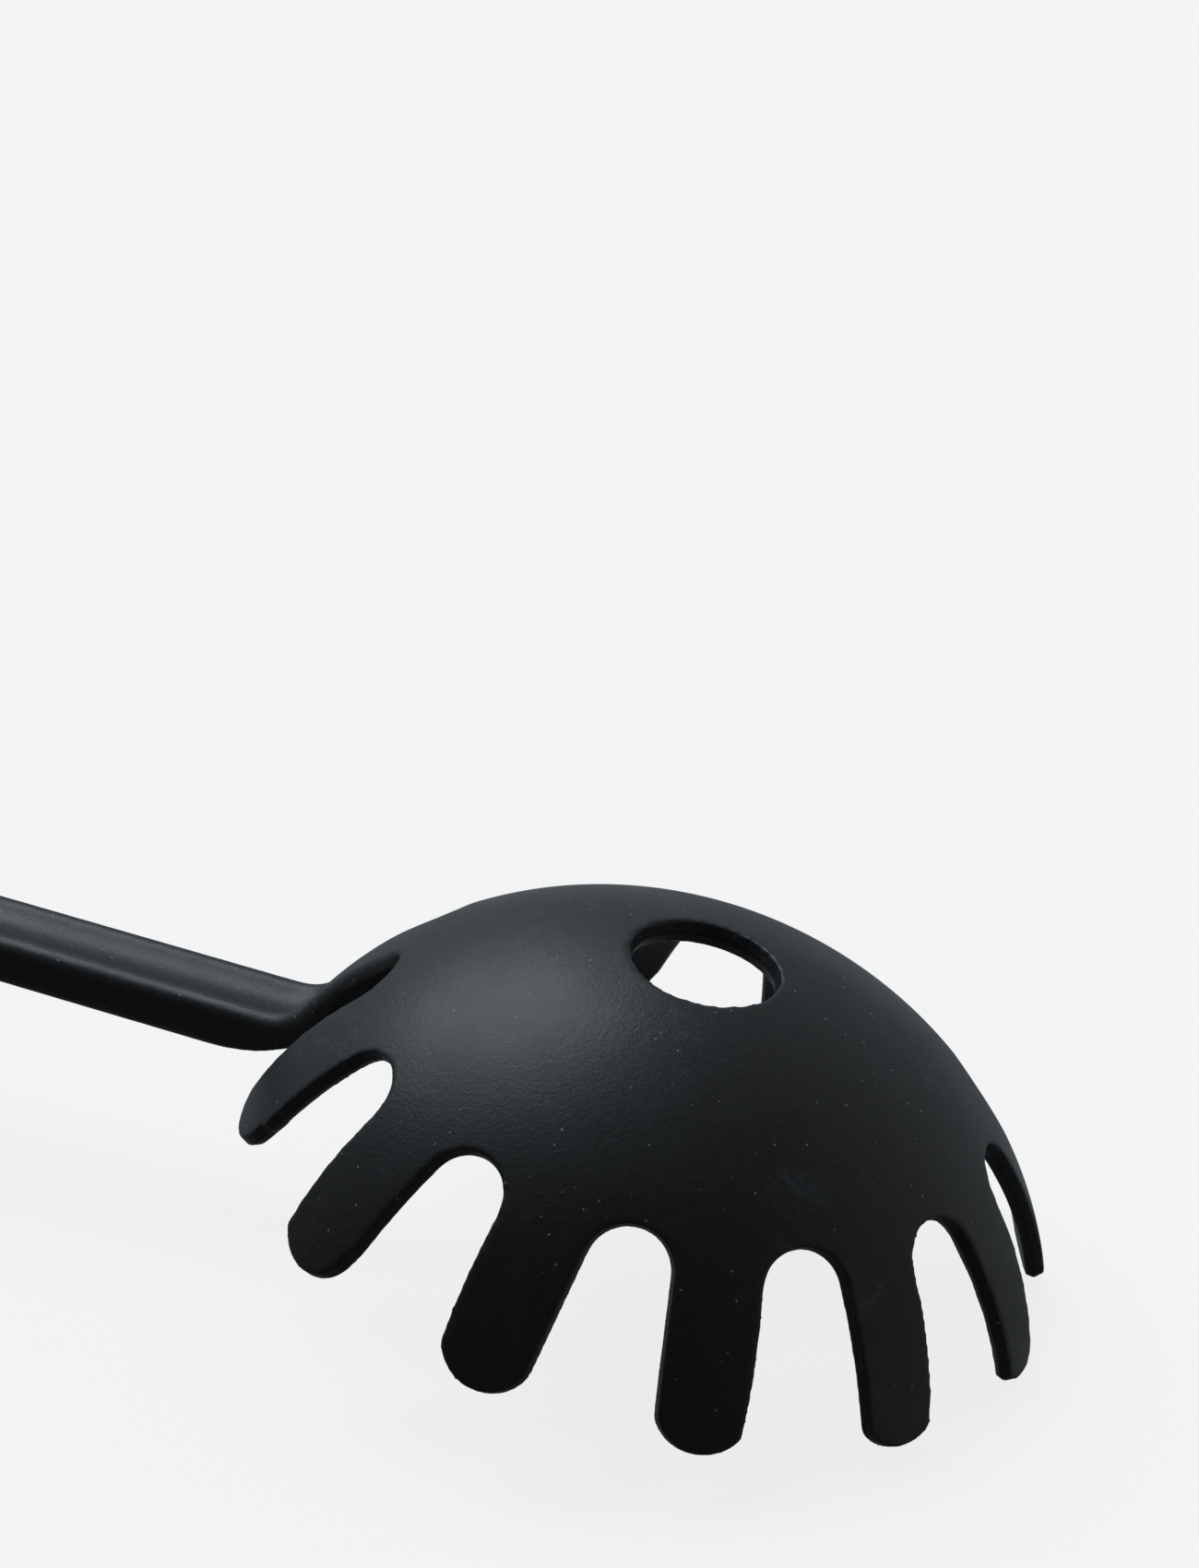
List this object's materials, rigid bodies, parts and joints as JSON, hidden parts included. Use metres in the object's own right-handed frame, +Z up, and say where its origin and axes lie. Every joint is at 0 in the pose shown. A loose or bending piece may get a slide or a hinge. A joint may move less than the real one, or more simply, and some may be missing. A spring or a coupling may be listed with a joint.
{
  "type": "pasta server",
  "caption": "Pasta server with a toothed nylon bowl, drain hole, grooved neck, soft oval grip and a swinging hanging link, lying crown-up.",
  "frame": {"origin": "middle of the whole length and width, on the table that the server lies on", "axes": "+X from the handle to the front tooth, +Y across, +Z up; the bowl lies crown-up"},
  "size_m": [0.3558, 0.066, 0.0333],
  "materials": {
    "black_nylon": "moulded nylon, matt",
    "satin_steel": "satin-ground stainless steel",
    "core_plastic": "moulded polypropylene, hidden",
    "soft_grip": "fine matt thermoplastic elastomer",
    "pin_steel": "drawn steel pin",
    "link_steel": "stamped stainless steel, tumbled"
  },
  "bodies": {
    "server": {"server_head": "black_nylon", "neck_collar": "satin_steel", "grip_core": "core_plastic", "soft_sleeve": "soft_grip", "tang_pins": "pin_steel", "cap_pin": "pin_steel", "end_cap": "satin_steel", "link_pin": "pin_steel"},
    "hanging_link": {"hanging_link": "link_steel"}
  },
  "joints": [
    {"name": "link_hinge", "type": "hinge", "parent": "server", "child": "hanging_link", "pos_m": [-0.15018, 0, 0.00641], "axis": [0, 1, 0], "range_deg": [-94, 106]}
  ]
}
